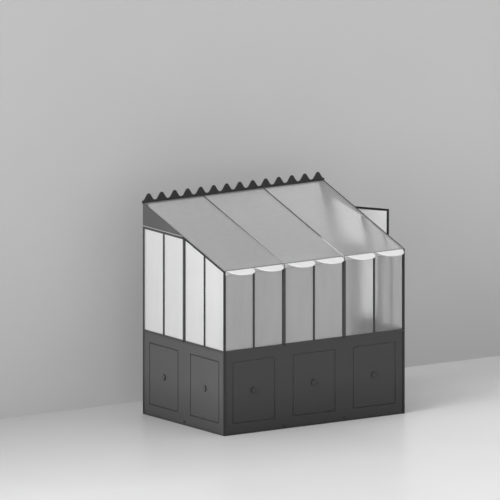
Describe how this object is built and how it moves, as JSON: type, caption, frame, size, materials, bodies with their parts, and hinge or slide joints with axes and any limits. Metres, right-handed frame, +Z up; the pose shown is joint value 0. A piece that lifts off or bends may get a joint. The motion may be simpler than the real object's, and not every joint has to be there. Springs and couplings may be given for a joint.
{
  "type": "lean-to orangery",
  "caption": "Lean-to orangery with a dark steel frame, frosted glass, pressed steel base panels, wavy cresting, scalloped eave and a side door that stands ajar.",
  "frame": {"origin": "on the ground, under the middle of the rear sill, which lies along the house wall", "axes": "+X to the right along the front, +Y from the front towards the house wall, +Z up"},
  "size_m": [2.6164, 1.6094, 2.2483],
  "materials": {
    "frame_steel": "satin dark paint",
    "panel_steel": "satin dark paint on pressed sheet",
    "frosted_glass": "frosted",
    "white_scallop": "matt white paint",
    "handle_iron": "satin black paint",
    "glazing_seal": "black rubber round the panes",
    "fixings": "screws, rivets and bolts, painted over"
  },
  "bodies": {
    "frame": {"sill_front": "frame_steel", "sill_left": "frame_steel", "sill_right": "frame_steel", "sill_back": "frame_steel", "corner_post_left": "frame_steel", "corner_post_right": "frame_steel", "wall_post_left": "frame_steel", "wall_post_right": "frame_steel", "side_post_left": "frame_steel", "side_post_right": "frame_steel", "front_posts": "frame_steel", "front_mullions": "frame_steel", "side_mullions": "frame_steel", "base_panel_front_left": "panel_steel", "base_panel_front_middle": "panel_steel", "base_panel_front_right": "panel_steel", "base_panel_left_front": "panel_steel", "base_panel_left_rear": "panel_steel", "base_panel_right_front": "panel_steel", "dado_rail_front": "panel_steel", "dado_rail_left": "panel_steel", "dado_rail_right": "panel_steel", "head_rail_left": "frame_steel", "head_rail_right": "frame_steel", "gable_panels": "panel_steel", "eave_beam": "frame_steel", "rake_rail_left": "frame_steel", "rake_rail_right": "frame_steel", "rafters": "frame_steel", "wall_plate": "frame_steel", "cresting": "frame_steel", "roof_glass_left": "frosted_glass", "roof_glass_middle": "frosted_glass", "roof_glass_right": "frosted_glass", "front_glass": "frosted_glass", "left_glass": "frosted_glass", "right_glass": "frosted_glass", "eave_scallops": "white_scallop", "hinge_frames": "frame_steel"},
    "door": {"hinge_leaves": "frame_steel", "door_stiles": "frame_steel", "door_rails": "frame_steel", "door_panel": "panel_steel", "door_glass": "frosted_glass", "door_handle": "handle_iron"}
  },
  "joints": [
    {"name": "door_hinge", "type": "hinge", "parent": "frame", "child": "door", "pos_m": [1.108, -0.012, 0.96], "axis": [0, 0, 1], "range_deg": [-31.6, 56.4]}
  ]
}
